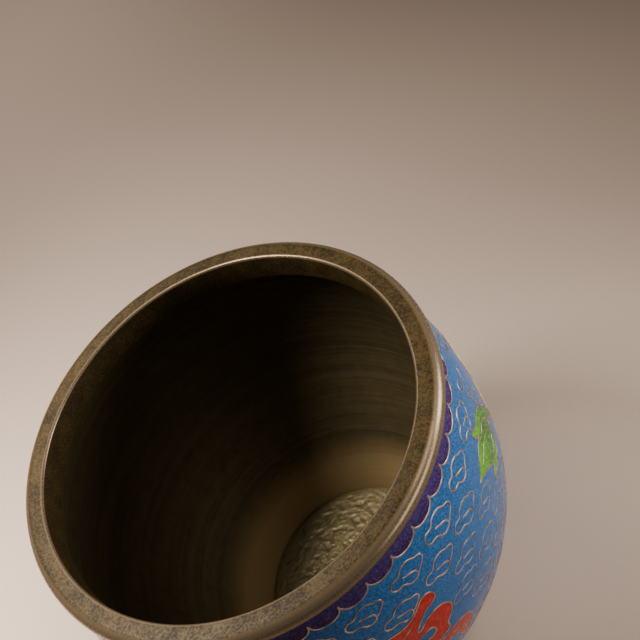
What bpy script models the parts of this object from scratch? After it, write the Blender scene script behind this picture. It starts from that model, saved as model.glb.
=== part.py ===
"""A round cloisonne planter that stands on a brass foot ring.

The vessel is a spun metal bowl with fused enamel outside. A heavy brass ring
closes its mouth, a brass ring carries its foot, and a hammered brass disc is
let in as the floor. Every piece is turned about the vertical axis through the
origin, which lies on the table under the middle of the foot.
"""

import math

import bmesh
import bpy

# Overall sizes, in metres
HEIGHT = 0.116
MOUTH_RADIUS = 0.052
BELLY_RADIUS = 0.0622
BELLY_HEIGHT = 0.0745
BASE_RADIUS = 0.0359

# Wall layers
METAL_THICKNESS = 0.0012
ENAMEL_THICKNESS = 0.001
FIT_GAP = 0.0003

# Lean of the wall from the vertical at its two ends, and how full its curves are
NECK_LEAN = math.radians(18.3)
BASE_LEAN = math.radians(28.0)
UPPER_NECK_PULL = 0.46
UPPER_BELLY_PULL = 0.40
LOWER_BELLY_PULL = 0.35
LOWER_BASE_PULL = 0.38

# Rim ring
COLLAR_THICKNESS = 0.0014
COLLAR_DEPTH = 0.009
RIM_BEAD_RADIUS = 0.0029
RIM_OVERHANG = 0.0022
LIP_ROUND = 0.0008

# Foot ring and floor
FOOT_HEIGHT = 0.0043
FOOT_OVERHANG = 0.0016
FOOT_LEDGE = 0.003
FLOOR_THICKNESS = 0.0016
FLOOR_EDGE_ROUND = 0.0004

# Fineness of the turned surfaces
TURN_STEPS = 64
UPPER_STATIONS = 5
LOWER_STATIONS = 7
RIM_ARC_STEPS = 7
FOOT_ARC_STEPS = 4
LIP_ARC_STEPS = 3

# Heights and radii that follow from the sizes above
RIM_UNDERSIDE = HEIGHT - 2 * RIM_BEAD_RADIUS
WALL_TOP = RIM_UNDERSIDE - FIT_GAP
WALL_BOTTOM = FOOT_HEIGHT + FIT_GAP
METAL_INSET = ENAMEL_THICKNESS + FIT_GAP
INNER_INSET = METAL_INSET + METAL_THICKNESS
COLLAR_OUTER_RADIUS = MOUTH_RADIUS + COLLAR_THICKNESS
NECK_RADIUS = COLLAR_OUTER_RADIUS + FIT_GAP + INNER_INSET / math.cos(NECK_LEAN)
RIM_BEAD_CENTRE = NECK_RADIUS + RIM_OVERHANG - RIM_BEAD_RADIUS
FLOOR_RADIUS = BASE_RADIUS - INNER_INSET / math.cos(BASE_LEAN) - FIT_GAP

ANTIQUE_BRASS = ("antique_brass", (0.20, 0.145, 0.07), 0.38, 1.0)
DARK_BRONZE = ("dark_bronze", (0.085, 0.066, 0.038), 0.5, 1.0)
HAMMERED_BRASS = ("hammered_brass", (0.27, 0.22, 0.10), 0.45, 1.0)
CLOISONNE_ENAMEL = ("cloisonne_enamel", (0.035, 0.16, 0.36), 0.2, 0.0)


def clear_scene():
    for obj in list(bpy.data.objects):
        bpy.data.objects.remove(obj)


def material(name, colour, roughness, metallic):
    """A plain finish, made once and shared by the pieces that have it."""
    finish = bpy.data.materials.get(name)
    if finish is None:
        finish = bpy.data.materials.new(name)
        finish.use_nodes = True
        shader = finish.node_tree.nodes["Principled BSDF"]
        shader.inputs["Base Color"].default_value = (*colour, 1.0)
        shader.inputs["Roughness"].default_value = roughness
        shader.inputs["Metallic"].default_value = metallic
    return finish


def curve_station(start, start_pull, end_pull, end, share):
    """(radius, height, lean) on a cubic curve, at a share of its run."""
    rest = 1 - share
    points = (start, start_pull, end_pull, end)
    weights = (rest**3, 3 * rest**2 * share, 3 * rest * share**2, share**3)
    slopes = (
        -3 * rest**2,
        3 * rest**2 - 6 * rest * share,
        6 * rest * share - 3 * share**2,
        3 * share**2,
    )
    radius, height = (sum(w * p[i] for w, p in zip(weights, points)) for i in (0, 1))
    across, down = (sum(s * p[i] for s, p in zip(slopes, points)) for i in (0, 1))
    return radius, height, math.atan2(across, -down)


def wall_stations():
    """The outside of the wall, from the neck over the belly to the base."""
    neck = (NECK_RADIUS, WALL_TOP)
    belly = (BELLY_RADIUS, BELLY_HEIGHT)
    base = (BASE_RADIUS, WALL_BOTTOM)
    upper_run = WALL_TOP - BELLY_HEIGHT
    lower_run = BELLY_HEIGHT - WALL_BOTTOM
    neck_pull = UPPER_NECK_PULL * upper_run
    base_pull = LOWER_BASE_PULL * lower_run
    upper = (
        neck,
        (neck[0] + neck_pull * math.sin(NECK_LEAN), neck[1] - neck_pull * math.cos(NECK_LEAN)),
        (BELLY_RADIUS, BELLY_HEIGHT + UPPER_BELLY_PULL * upper_run),
        belly,
    )
    lower = (
        belly,
        (BELLY_RADIUS, BELLY_HEIGHT - LOWER_BELLY_PULL * lower_run),
        (base[0] + base_pull * math.sin(BASE_LEAN), base[1] + base_pull * math.cos(BASE_LEAN)),
        base,
    )
    stations = [curve_station(*upper, i / UPPER_STATIONS) for i in range(UPPER_STATIONS)]
    stations += [curve_station(*lower, i / LOWER_STATIONS) for i in range(LOWER_STATIONS + 1)]
    return stations


def wall_side(inset):
    """The wall's line at a depth below its outside, as (radius, height)."""
    return [(r - inset / math.cos(lean), z) for r, z, lean in wall_stations()]


def wall_layer(outer_inset, inner_inset):
    """The closed outline of one layer of the wall."""
    return wall_side(outer_inset) + wall_side(inner_inset)[::-1]


def arc(centre, radius, start, end, steps):
    """Points on an arc, both ends included, with angles in degrees."""
    turns = [math.radians(start + (end - start) * i / steps) for i in range(steps + 1)]
    return [(centre[0] + radius * math.cos(t), centre[1] + radius * math.sin(t)) for t in turns]


def turned(name, outline, finish):
    """Turns a closed outline of (radius, height) points about the vertical axis."""
    shape = bmesh.new()
    corners = [shape.verts.new((r, 0, z)) for r, z in outline]
    edges = [shape.edges.new((a, b)) for a, b in zip(corners, corners[1:] + corners[:1])]
    bmesh.ops.spin(
        shape,
        geom=corners + edges,
        cent=(0, 0, 0),
        axis=(0, 0, 1),
        angle=2 * math.pi,
        steps=TURN_STEPS,
        use_merge=True,
    )
    bmesh.ops.recalc_face_normals(shape, faces=shape.faces)
    return add_piece(name, shape, finish)


def add_piece(name, shape, finish):
    """Puts a finished mesh into the scene as one named piece."""
    mesh = bpy.data.meshes.new(name)
    shape.to_mesh(mesh)
    shape.free()
    mesh.shade_smooth()
    mesh.set_sharp_from_angle(angle=math.radians(35))
    mesh.materials.append(material(*finish))
    piece = bpy.data.objects.new(name, mesh)
    bpy.context.scene.collection.objects.link(piece)
    return piece


def make_vessel_wall():
    """The spun metal bowl, open at the mouth and at the base."""
    return turned("vessel_wall", wall_layer(METAL_INSET, INNER_INSET), DARK_BRONZE)


def make_enamel_coat():
    """The fused enamel that covers the outside of the bowl."""
    return turned("enamel_coat", wall_layer(0, ENAMEL_THICKNESS), CLOISONNE_ENAMEL)


def make_rim_ring():
    """A half-round bead with a flat top and a collar that drops into the mouth."""
    bead_centre = (RIM_BEAD_CENTRE, HEIGHT - RIM_BEAD_RADIUS)
    lip_centre = (MOUTH_RADIUS + LIP_ROUND, HEIGHT - LIP_ROUND)
    outline = arc(bead_centre, RIM_BEAD_RADIUS, 90, -90, RIM_ARC_STEPS)
    outline += [
        (COLLAR_OUTER_RADIUS, RIM_UNDERSIDE),
        (COLLAR_OUTER_RADIUS, HEIGHT - COLLAR_DEPTH),
        (MOUTH_RADIUS, HEIGHT - COLLAR_DEPTH),
    ]
    outline += arc(lip_centre, LIP_ROUND, 180, 90, LIP_ARC_STEPS)
    return turned("rim_ring", outline, ANTIQUE_BRASS)


def make_foot_ring():
    """A flat ring with a half-round edge, wide enough to carry wall and floor."""
    bead_radius = FOOT_HEIGHT / 2
    bead_centre = (BASE_RADIUS + FOOT_OVERHANG - bead_radius, bead_radius)
    inner_radius = FLOOR_RADIUS - FOOT_LEDGE
    outline = arc(bead_centre, bead_radius, 90, -90, FOOT_ARC_STEPS)
    outline += [(inner_radius, 0), (inner_radius, FOOT_HEIGHT)]
    return turned("foot_ring", outline, ANTIQUE_BRASS)


def make_floor_disc():
    """The disc let into the base, which rests on the foot ring's ledge."""
    shape = bmesh.new()
    bmesh.ops.create_cone(
        shape,
        cap_ends=True,
        segments=TURN_STEPS,
        radius1=FLOOR_RADIUS,
        radius2=FLOOR_RADIUS,
        depth=FLOOR_THICKNESS,
    )
    middle = WALL_BOTTOM + FLOOR_THICKNESS / 2
    bmesh.ops.translate(shape, verts=shape.verts, vec=(0, 0, middle))
    top_edges = [e for e in shape.edges if all(v.co.z > middle for v in e.verts)]
    bmesh.ops.bevel(shape, geom=top_edges, offset=FLOOR_EDGE_ROUND, segments=1, affect="EDGES")
    return add_piece("floor_disc", shape, HAMMERED_BRASS)


def main():
    clear_scene()
    make_vessel_wall()
    make_enamel_coat()
    make_rim_ring()
    make_foot_ring()
    make_floor_disc()


main()
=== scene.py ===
# %% [markdown]
# # A round cloisonne planter
#
# Cloisonne is enamel in metal cells. The maker spins a bowl, bends thin brass wire into
# outlines, stands the wires on the bowl, fills the cells with coloured glass paste, fires it and
# grinds everything flush. A heavy brass ring closes the mouth and another carries the foot.
#
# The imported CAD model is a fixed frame, and this lesson dresses it. Each step first says what the
# real piece is like and how it could be made, and then makes it.

# %% Load the frame
import math

import bmesh
import bpy
import numpy as np
from mathutils import Matrix, Vector, geometry, kdtree


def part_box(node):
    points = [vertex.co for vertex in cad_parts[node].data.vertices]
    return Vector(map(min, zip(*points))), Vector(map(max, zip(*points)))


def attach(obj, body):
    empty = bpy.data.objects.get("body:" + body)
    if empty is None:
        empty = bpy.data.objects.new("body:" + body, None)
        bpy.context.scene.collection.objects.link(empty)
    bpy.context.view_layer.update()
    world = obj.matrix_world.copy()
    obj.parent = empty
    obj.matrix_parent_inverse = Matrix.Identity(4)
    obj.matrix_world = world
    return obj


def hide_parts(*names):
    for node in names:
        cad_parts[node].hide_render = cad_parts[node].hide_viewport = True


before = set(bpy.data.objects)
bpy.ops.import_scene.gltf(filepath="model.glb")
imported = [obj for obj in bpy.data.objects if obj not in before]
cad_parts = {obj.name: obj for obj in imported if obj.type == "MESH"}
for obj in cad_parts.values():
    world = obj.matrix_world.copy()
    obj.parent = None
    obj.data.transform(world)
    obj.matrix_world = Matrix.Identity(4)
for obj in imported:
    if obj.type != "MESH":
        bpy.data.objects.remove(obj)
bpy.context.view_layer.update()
print("CAD nodes:", ", ".join(sorted(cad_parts)))

# %% [markdown]
# ## The vessel's outline
#
# Everything on this planter is round, so one curved line says what the whole wall looks like.
# The CAD nodes hold that line as a few rings of corners. It could be typed in again, but reading
# it from the frame keeps both models together when a size changes. A natural spline through the
# rings gives the smooth line that the corners stand on, without the flats between them.

# %% Read the outlines from the CAD nodes
def ring_line(node, pick):
    """(radius, height) of a turned CAD node at each of its rings, from the bottom up."""
    rings = {}
    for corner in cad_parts[node].data.vertices:
        height = round(corner.co.z, 5)
        radius = math.hypot(corner.co.x, corner.co.y)
        rings[height] = pick(radius, rings.get(height, radius))
    return np.array([(radius, height) for height, radius in sorted(rings.items())])


def smooth_line(rings, count):
    """A natural spline through the rings, with its points evenly spaced."""
    lengths = np.linalg.norm(np.diff(rings, axis=0), axis=1)
    knots = np.concatenate([[0], np.cumsum(lengths)])
    slopes = np.diff(rings, axis=0) / lengths[:, None]
    system = np.eye(len(rings))
    bends = np.zeros_like(rings)
    for i in range(1, len(rings) - 1):
        before, after = lengths[i - 1], lengths[i]
        system[i, i - 1 : i + 2] = before, 2 * (before + after), after
        bends[i] = 6 * (slopes[i] - slopes[i - 1])
    bends = np.linalg.solve(system, bends)
    places = np.linspace(0, knots[-1], count)
    part = np.clip(np.searchsorted(knots, places, side="right") - 1, 0, len(lengths) - 1)
    length = lengths[part][:, None]
    gone = (places - knots[part])[:, None]
    left = length - gone
    curve = bends[part] * left**3 + bends[part + 1] * gone**3
    low = rings[part] - bends[part] * length**2 / 6
    high = rings[part + 1] - bends[part + 1] * length**2 / 6
    return curve / (6 * length) + low * left / length + high * gone / length


LINE_POINTS = 400
coat_line = smooth_line(ring_line("enamel_coat", max), LINE_POINTS)
print(f"belly {coat_line[:, 0].max() * 2000:.1f} mm across")

# %% [markdown]
# ## The camera
#
# The photo looks down into the mouth from close by, about 49 degrees above the plane of the rim,
# and the vessel is tilted in the picture. Here the planter stands on its foot, so the camera
# takes the tilt instead. Its place and turn were worked out from the ellipses of the rim and the
# floor. A longer lens from further away would flatten the mouth, so the real distance is kept.

# %% Place the camera
def add_object(name, data):
    """Puts a new object with this data into the scene."""
    made = bpy.data.objects.new(name, data)
    bpy.context.scene.collection.objects.link(made)
    return made


CAMERA_PLACE = Vector((0.0, -0.1693, 0.3118))
CAMERA_RIGHT = Vector((0.7237, -0.5815, -0.3718))
CAMERA_UP = Vector((0.6758, 0.4879, 0.5526))
LENS = 56.75
SENSOR = 36.0

camera_data = bpy.data.cameras.new("camera")
camera_data.lens = LENS
camera_data.sensor_width = SENSOR
camera_data.sensor_fit = "HORIZONTAL"
camera_data.clip_start = 0.01
camera_back = CAMERA_RIGHT.cross(CAMERA_UP).normalized()
camera_up = camera_back.cross(CAMERA_RIGHT).normalized()
camera_turn = Matrix((CAMERA_RIGHT.normalized(), camera_up, camera_back)).transposed()
camera = add_object("camera", camera_data)
camera.matrix_world = Matrix.Translation(CAMERA_PLACE) @ camera_turn.to_4x4()
bpy.context.scene.camera = camera
tilt = math.degrees(math.asin(camera_back.z))
print(f"camera looks {tilt:.1f} degrees down from {CAMERA_PLACE.length:.3f} m")

# %% [markdown]
# ## Building nodes from a script
#
# Both materials and Geometry Nodes are trees of nodes. One small helper adds a node, sets its
# options and fills its inputs: an input that gets another node's socket is linked to it, and
# any other value is simply set. A few more give short names to the steps that come up often.

# %% A helper for node trees
NODE_STEP = 190


def fill_inputs(node, inputs):
    """Links each input that gets another node's socket, and sets the others."""
    for name, value in inputs.items():
        if isinstance(value, bpy.types.NodeSocket):
            node.id_data.links.new(value, node.inputs[name])
        else:
            node.inputs[name].default_value = value


def add_node(tree, kind, inputs=None, **options):
    """Adds a node to a tree, to the right of the last one, with its options and inputs."""
    made = tree.nodes.new(kind)
    made.location = (NODE_STEP * len(tree.nodes), 0)
    for name, value in options.items():
        setattr(made, name, value)
    fill_inputs(made, inputs or {})
    return made


def add_step(tree, kind, inputs=None, **options):
    """Adds a node and returns its first result, which is all that most steps need."""
    return add_node(tree, kind, inputs, **options).outputs[0]


def add_math(tree, operation, *values):
    """Adds one step of arithmetic and returns its result."""
    return add_step(tree, "ShaderNodeMath", dict(enumerate(values)), operation=operation)


def rescale(tree, value, from_low, from_high, to_low=0.0, to_high=1.0):
    """Adds a clamped change of range, to the range from 0 to 1 where no other is given."""
    names = ("Value", "From Min", "From Max", "To Min", "To Max")
    given = (value, from_low, from_high, to_low, to_high)
    return add_step(tree, "ShaderNodeMapRange", dict(zip(names, given)))


def opaque(colour):
    """A colour with its alpha, or the socket that brings one as it is."""
    return colour if isinstance(colour, bpy.types.NodeSocket) else (*colour, 1)


def add_blend(tree, share, start, end):
    """Adds a blend of two colours. The Mix node takes them at 6 and 7, and gives it at 2."""
    sockets = {0: share, 6: opaque(start), 7: opaque(end)}
    return add_node(tree, "ShaderNodeMix", sockets, data_type="RGBA").outputs[2]


print("node helpers are ready")

# %% [markdown]
# ## Finishes
#
# Each finish is a small tree of procedural textures on Object coordinates, so it needs no
# image and stays put when the piece is seen from another side. Real surfaces are never one
# colour: metal is mottled where its patina took unevenly, and enamel is ground glass with fine
# grains and pinholes in it. The textures are scaled in grains per metre.

# %% Parts that every finish shares
def new_finish(name):
    """A material with an empty Principled shader, and Object coordinates to read."""
    finish = bpy.data.materials.new(name)
    finish.use_nodes = True
    tree = finish.node_tree
    shader = tree.nodes["Principled BSDF"]
    place = add_node(tree, "ShaderNodeTexCoord").outputs["Object"]
    return finish, tree, shader, place


def carried(tree, name):
    """A number that the mesh carries along under this name."""
    return add_node(tree, "ShaderNodeAttribute", attribute_name=name).outputs["Fac"]


def grains(tree, place, scale, detail=2.0, distortion=0.0, stretch=None):
    """Soft random mottling from 0 to 1, with about scale grains in a metre."""
    if stretch:
        place = add_step(tree, "ShaderNodeMapping", {"Vector": place, "Scale": stretch})
    settings = {"Vector": place, "Scale": scale, "Detail": detail, "Distortion": distortion}
    return add_step(tree, "ShaderNodeTexNoise", settings)


def relief(tree, height, depth, strength):
    """Turns a 0 to 1 pattern into the normals of fine relief, of a depth in metres."""
    settings = {"Height": height, "Distance": depth, "Strength": strength}
    return add_step(tree, "ShaderNodeBump", settings)


print("finish helpers are ready")

# %% [markdown]
# ### Enamel
#
# Fired enamel is glass, so it is smooth and shiny with the colour a little way in. Close up it
# shows the grains of the paste as fine lighter and darker flecks. The colour may run from one
# shade to another inside a cell, as it does in the leaves, where the maker lays a paler paste
# beside a deeper one. The mesh says how far along it is with an attribute named tone.

# %% Make the enamel colours
FLECK_SCALE = 1900.0
FLECK_SHARE = 0.75
CLOUDY_SCALE = 130.0
CLOUDY_REACH = 0.14
PINHOLE_SCALE = 3800.0
PINHOLE_DEPTH = 0.00002
ENAMEL_ROUGHNESS = 0.17
ENAMEL_GLOSS = 0.14

ENAMEL_SHADES = {
    "ground_blue": ((0.021, 0.097, 0.250), (0.014, 0.069, 0.199)),
    "border_violet": ((0.046, 0.026, 0.120), (0.036, 0.012, 0.048)),
    "petal_red": ((0.420, 0.024, 0.018), (0.350, 0.014, 0.011)),
    "leaf_green": ((0.100, 0.330, 0.010), (0.004, 0.085, 0.012)),
    "petal_yellow": ((0.800, 0.560, 0.140), (0.720, 0.300, 0.050)),
    "petal_pink": ((0.720, 0.300, 0.290), (0.520, 0.070, 0.075)),
}


def make_enamel(name, near, far):
    """A glassy colour that runs from near to far with the tone of its cell."""
    finish, tree, shader, place = new_finish(name)
    cloudy = grains(tree, place, CLOUDY_SCALE, 3)
    cloudy = rescale(tree, cloudy, 0.3, 0.7, -CLOUDY_REACH, CLOUDY_REACH)
    tone = rescale(tree, add_math(tree, "ADD", carried(tree, "tone"), cloudy), 0, 1)
    flecks = grains(tree, place, FLECK_SCALE, 2)
    pale = [min(1, channel * 1.5 + 0.035) for channel in near]
    deep = [channel * 0.5 for channel in far]
    colour = add_blend(tree, tone, near, far)
    colour = add_blend(tree, rescale(tree, flecks, 0.53, 0.70, 0, FLECK_SHARE), colour, pale)
    colour = add_blend(tree, rescale(tree, flecks, 0.47, 0.30, 0, FLECK_SHARE), colour, deep)
    low, high = ENAMEL_ROUGHNESS - 0.05, ENAMEL_ROUGHNESS + 0.07
    pinholes = rescale(tree, grains(tree, place, PINHOLE_SCALE, 1), 0.2, 0.5)
    fill_inputs(shader, {
        "Base Color": colour,
        "Roughness": rescale(tree, flecks, 0.3, 0.7, low, high),
        "Specular IOR Level": ENAMEL_GLOSS,
        "Normal": relief(tree, pinholes, PINHOLE_DEPTH, 0.5),
    })
    return finish


enamels = {name: make_enamel(name, *shades) for name, shades in ENAMEL_SHADES.items()}
enamel_names = list(enamels)
print("enamels:", ", ".join(enamel_names))

# %% [markdown]
# ### The rings' brass
#
# The rings are brass, aged to an olive brown. A patina is a skin of oxide, so it is dull and
# set as mostly not metal, a fine mottle over a broad one. Where hands have rubbed the rounded
# edges it is worn through, and the finish turns paler, smoother and more metallic. The mesh says
# where with an attribute named worn.

# %% Make the rings' brass
RING_PATINA = (0.076, 0.049, 0.017)
RING_STAIN = (0.022, 0.015, 0.006)
RING_WORN = (0.34, 0.25, 0.16)
RING_FLECK_SCALE = 1900.0
RING_ROUGHNESS = 0.42
RING_GLOSS = 0.12
FULLY_WORN = 0.5
FINE_RELIEF = 0.00003


def make_ring_brass():
    """Brass with a mottled patina, worn through where the mesh says so."""
    finish, tree, shader, place = new_finish("aged_rim_brass")
    fine = grains(tree, place, RING_FLECK_SCALE, 4, 0.3)
    broad = grains(tree, place, RING_FLECK_SCALE / 9, 3)
    mottle = add_math(tree, "ADD", fine, add_math(tree, "MULTIPLY_ADD", broad, 0.45, -0.22))
    worn = carried(tree, "worn")
    stain = add_math(tree, "SUBTRACT", rescale(tree, mottle, 0.36, 0.66), worn)
    stain = rescale(tree, stain, 0, 1)
    colour = add_blend(tree, stain, RING_PATINA, RING_STAIN)
    rough = rescale(tree, stain, 0, 1, RING_ROUGHNESS, RING_ROUGHNESS + 0.1)
    polish = rescale(tree, worn, 0, FULLY_WORN, 0, 0.15)
    fill_inputs(shader, {
        "Base Color": add_blend(tree, worn, colour, RING_WORN),
        "Metallic": rescale(tree, worn, 0, FULLY_WORN, 0.1, 0.6),
        "Roughness": add_math(tree, "SUBTRACT", rough, polish),
        "Specular IOR Level": RING_GLOSS,
        "Normal": relief(tree, fine, FINE_RELIEF, 0.4),
    })
    return finish


ring_brass = make_ring_brass()
print("rings:", ring_brass.name)

# %% [markdown]
# ### The wires' brass
#
# The wires are ground flat together with the enamel, so they are bare metal that has tarnished
# in patches. Where the paste has shrunk away from the wire in the firing, a thin dark line is
# painted along it as painted shade: the shadow in that gap is given as a dark colour, not as a
# groove. The lower corners of each wire carry the attribute that marks this painted shade.

# %% Make the wires' brass
WIRE_BRIGHT = (0.72, 0.56, 0.46)
WIRE_TARNISH = (0.34, 0.235, 0.18)
# Painted shade: the colour of the shadow in the gap between wire and enamel.
WIRE_SEAM_SHADE = (0.045, 0.030, 0.026)
TARNISH_SCALE = 420


def make_wire_brass():
    """Flat ground brass, with painted seam shade where it meets the enamel."""
    finish, tree, shader, place = new_finish("wire_brass")
    stain = rescale(tree, grains(tree, place, TARNISH_SCALE, 4), 0.40, 0.60)
    colour = add_blend(tree, stain, WIRE_BRIGHT, WIRE_TARNISH)
    # The seam corners take the painted shade colour in place of the gap's shadow.
    seam_shade_share = rescale(tree, carried(tree, "seam"), 0.12, 0.5)
    fill_inputs(shader, {
        "Base Color": add_blend(tree, seam_shade_share, colour, WIRE_SEAM_SHADE),
        "Metallic": 1.0,
        "Roughness": rescale(tree, stain, 0, 1, 0.28, 0.42),
        "Normal": relief(tree, stain, FINE_RELIEF, 0.4),
    })
    return finish


wire_brass = make_wire_brass()
print("wires:", wire_brass.name)

# %% [markdown]
# ### The bowl's bronze
#
# Inside the bowl the patina is nearly black. The spinning tool has left rings in it that only
# change with height, so their texture is stretched: quick along the axis and slow across it.
# Just above the floor a paler band is painted in: a painted sheen where light falls low on the
# wall.

# %% Make the bowl's bronze
BRONZE_PATINA = (0.088, 0.066, 0.028)
BRONZE_STAIN = (0.046, 0.033, 0.013)
# Painted sheen: the paler colour of the band just above the floor.
SHEEN_BAND_BRONZE = (0.230, 0.160, 0.070)
BAND_TOP = 0.024
BAND_FADE = 0.009
PATINA_METAL = 0.3
FINE_RINGS = (14, 14, 1900)
BROAD_RINGS = (9, 9, 330)


def make_spun_bronze():
    """The dark inside of the bowl, ringed by the spinning tool, with a painted sheen band above the
    floor.
    """
    finish, tree, shader, place = new_finish("spun_bronze")
    rings = grains(tree, place, 1.0, 3, 0.0, FINE_RINGS)
    broad_rings = grains(tree, place, 1.0, 2, 0.0, BROAD_RINGS)
    blotches = grains(tree, place, 260, 4, 0.4)
    height = add_node(tree, "ShaderNodeSeparateXYZ", {"Vector": place}).outputs["Z"]
    # The band above the floor is painted light, paler where light and sheen fall on the lower wall.
    painted_sheen_band = rescale(tree, height, BAND_TOP, BAND_TOP - BAND_FADE)
    mix = add_math(tree, "ADD", add_math(tree, "ADD", rings, broad_rings), blotches)
    stain = rescale(tree, mix, 1.1, 1.9)
    colour = add_blend(tree, stain, BRONZE_PATINA, BRONZE_STAIN)
    fill_inputs(shader, {
        "Base Color": add_blend(tree, painted_sheen_band, colour, SHEEN_BAND_BRONZE),
        "Metallic": PATINA_METAL,
        "Roughness": rescale(tree, stain, 0, 1, 0.50, 0.62),
        "Normal": relief(tree, rings, 0.00004, 0.5),
    })
    return finish


spun_bronze = make_spun_bronze()
print("bowl:", spun_bronze.name)

# %% [markdown]
# ### The floor's brass
#
# The floor is crinkled, and its hollows hold the darkest patina. The mesh gives how deep a
# place lies as an attribute named crease, and fine grains break up its edges.

# %% Make the floor's brass
FLOOR_PATINA = (0.150, 0.115, 0.045)
FLOOR_CREASE = (0.040, 0.033, 0.014)
FLOOR_GRAIN_SCALE = 1700
FLOOR_METAL = 0.4


def make_crinkled_brass():
    """The floor's crinkled brass, dark in its creases."""
    finish, tree, shader, place = new_finish("crinkled_brass")
    fine = grains(tree, place, FLOOR_GRAIN_SCALE, 4, 0.6)
    uneven = rescale(tree, fine, 0.3, 0.7, -0.35, 0.35)
    stain = rescale(tree, add_math(tree, "ADD", carried(tree, "crease"), uneven), 0.1, 0.9)
    fill_inputs(shader, {
        "Base Color": add_blend(tree, stain, FLOOR_PATINA, FLOOR_CREASE),
        "Metallic": FLOOR_METAL,
        "Roughness": rescale(tree, stain, 0, 1, 0.42, 0.60),
        "Normal": relief(tree, fine, 0.00012, 0.7),
    })
    return finish


crinkled_brass = make_crinkled_brass()
print("floor:", crinkled_brass.name)

# %% [markdown]
# ## The artwork, drawn flat
#
# A cloisonne maker pencils the design on the bowl before bending any wire. The same is done
# here on a flat sheet that is the wall unrolled: across is degrees to the right of the front,
# and up is millimetres above the table. One degree is close to one millimetre at the belly, so
# shapes look right. A stroke is a few points with a smooth line through them, and a stroke ends
# wherever the wire has a sharp corner. The sheet's own ends meet on the least busy side.

# %% Strokes on the flat sheet
MM = 0.001
SCALLOPS = 44
SCALLOP_PITCH = 360 / SCALLOPS
FIRST_CUSP = -0.8
SHEET_RIGHT = FIRST_CUSP + 16 * SCALLOP_PITCH
SHEET_LEFT = SHEET_RIGHT - 360
STROKE_STEP = 0.75
rim_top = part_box("rim_ring")[1].z / MM


def stroke(points):
    """A smooth open line through points given as (degrees across, millimetres below the rim)."""
    points = np.array([(across, rim_top - depth) for across, depth in points], float)
    length = np.linalg.norm(np.diff(points, axis=0), axis=1).sum()
    return smooth_line(points, max(4, int(length / STROKE_STEP) + 1))


def ring(centre, radius, count, wobble=0.0, waves=1):
    """A closed line round a centre, with its radius swelling in a number of waves."""
    turns = np.linspace(0, 2 * math.pi, count + 1)
    reach = radius * (1 + wobble * np.abs(np.sin(turns * waves / 2)))
    across = centre[0] + reach * np.cos(turns)
    up = rim_top - centre[1] + reach * np.sin(turns)
    return np.stack([across, up], axis=1)


def mirrored(line, middle):
    """The same line on the other side of an upright at middle, drawn the other way."""
    return np.stack([2 * middle - line[:, 0], line[:, 1]], axis=1)[::-1]


def joined(*lines):
    """One outline from lines that end where the next begins."""
    return np.concatenate([line[:-1] for line in lines])


wires = []
cells = []


def add_cell(enamel, outline, near, far):
    """Keeps a closed outline as a cell whose colour runs from one place to another."""
    ends = [(across, rim_top - depth) for across, depth in (near, far)]
    cells.append((enamel, outline, np.array(ends)))


print(f"the sheet runs from {SHEET_LEFT:.1f} to {SHEET_RIGHT:.1f} degrees")

# %% [markdown]
# ### The red flower
#
# The photo shows the right edge of a big red flower below the mouth: a curled finger, a broad
# lobe with a blue window in it, and a hooked petal below. Chinese scroll flowers are symmetric,
# so the half that shows is drawn once and mirrored. The heart is out of the picture, and is a
# plain gold disc in a pink ring.

# %% Draw the red flower
FLOWER_MIDDLE = -16.0
FLOWER_HEART = (FLOWER_MIDDLE, 44.5)


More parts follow.
